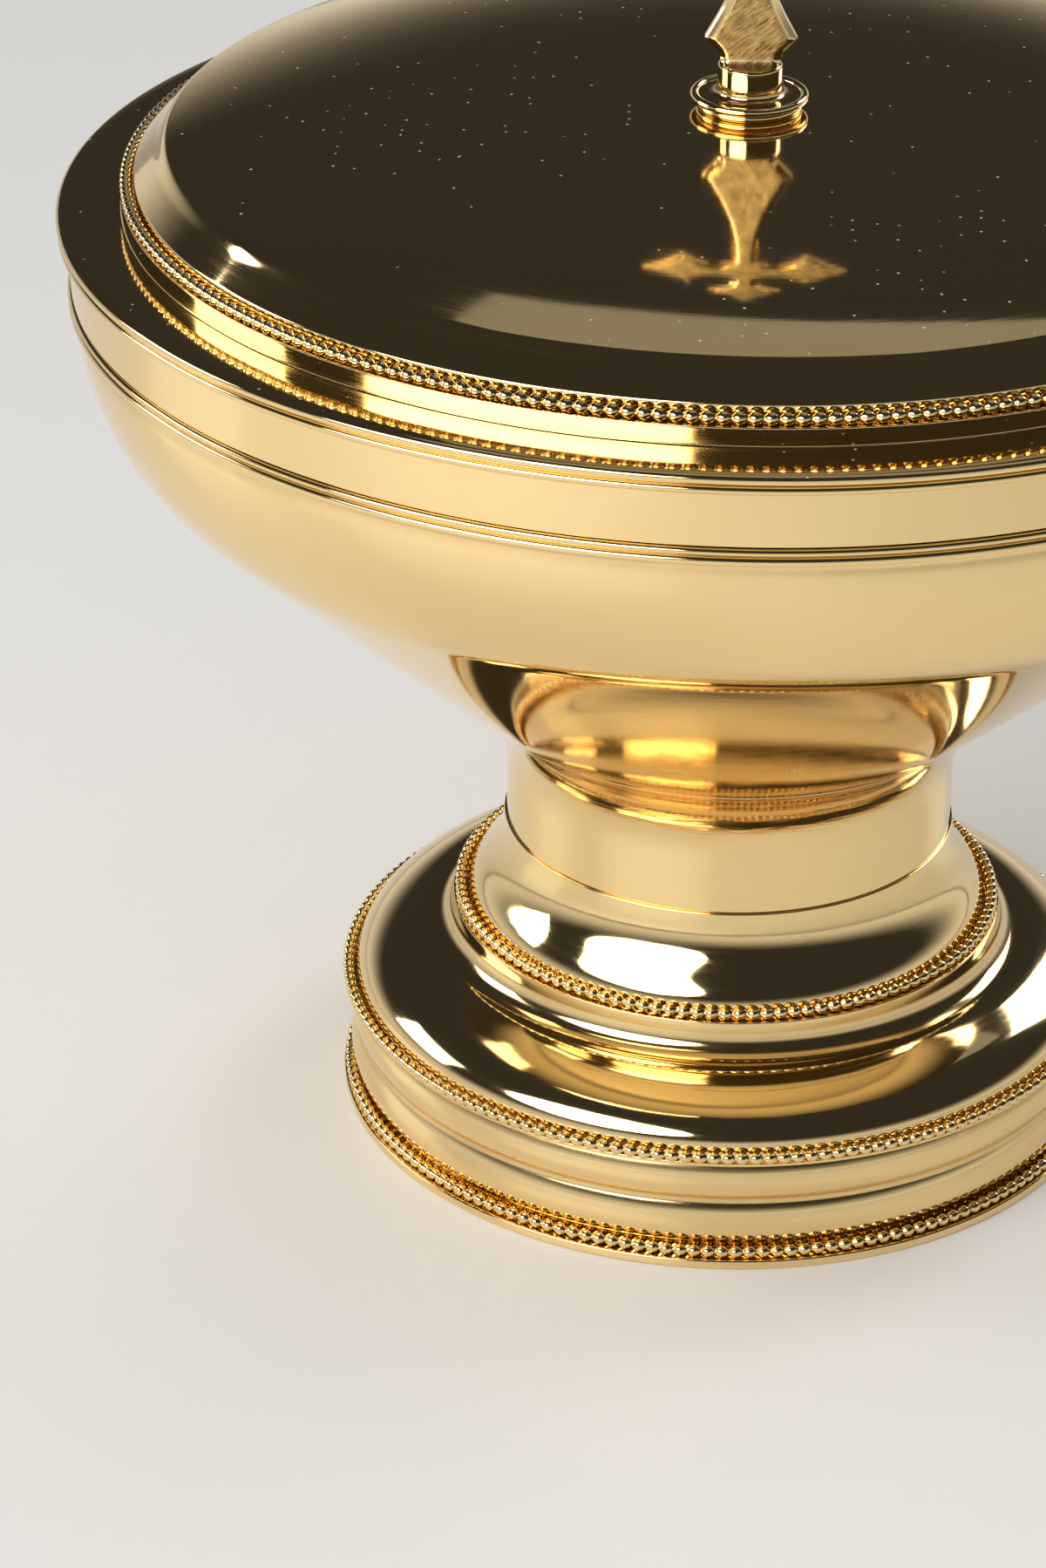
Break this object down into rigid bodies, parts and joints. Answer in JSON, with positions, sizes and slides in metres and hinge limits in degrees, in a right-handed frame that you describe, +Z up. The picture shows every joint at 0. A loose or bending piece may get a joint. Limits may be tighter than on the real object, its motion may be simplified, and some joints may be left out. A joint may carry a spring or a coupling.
{
  "type": "covered ciborium",
  "caption": "Low gilt ciborium: stepped beaded foot, short waist, wide flaring bowl and a lift-off low-domed lid with a small cross.",
  "frame": {"origin": "centre of the foot's underside, on the surface it stands on", "axes": "+Z up along the axis of the vessel, +X to the right and +Y away from a viewer who faces the cross"},
  "size_m": [0.1606, 0.1606, 0.1673],
  "materials": {
    "polished_gilt": "mirror polished gilding",
    "beaded_wire": "polished gilding on beaded wire",
    "cast_gilt": "gilding over a lightly textured casting",
    "turned_brass": "as turned",
    "zinc_steel": "zinc plated"
  },
  "bodies": {
    "vessel": {"base_flange": "polished_gilt", "base_bead_wire": "beaded_wire", "plinth": "polished_gilt", "plinth_bead_wire": "beaded_wire", "foot_dome": "polished_gilt", "crown_bead_wire": "beaded_wire", "foot_crown": "polished_gilt", "stem": "polished_gilt", "bowl_shell": "polished_gilt", "bowl_moulding": "polished_gilt", "bowl_rim_wire": "polished_gilt", "bowl_boss": "turned_brass", "tie_rod": "zinc_steel", "foot_washer": "turned_brass", "foot_nut": "zinc_steel"},
    "lid_seat": {"lid_locating_ring": "polished_gilt"},
    "lid": {"lid_shell": "polished_gilt", "lid_bead_wire": "beaded_wire", "finial_collar": "polished_gilt", "finial_neck": "polished_gilt", "cross": "cast_gilt", "finial_stud": "zinc_steel", "lid_washer": "turned_brass", "lid_nut": "turned_brass"}
  },
  "joints": [
    {"name": "lid_lift", "type": "slide", "parent": "vessel", "child": "lid_seat", "axis": [0, 0, 1], "range_m": [0, 0.06]},
    {"name": "lid_turn", "type": "hinge", "parent": "lid_seat", "child": "lid", "pos_m": [0, 0, 0.1167], "axis": [0, 0, 1], "continuous": true}
  ]
}
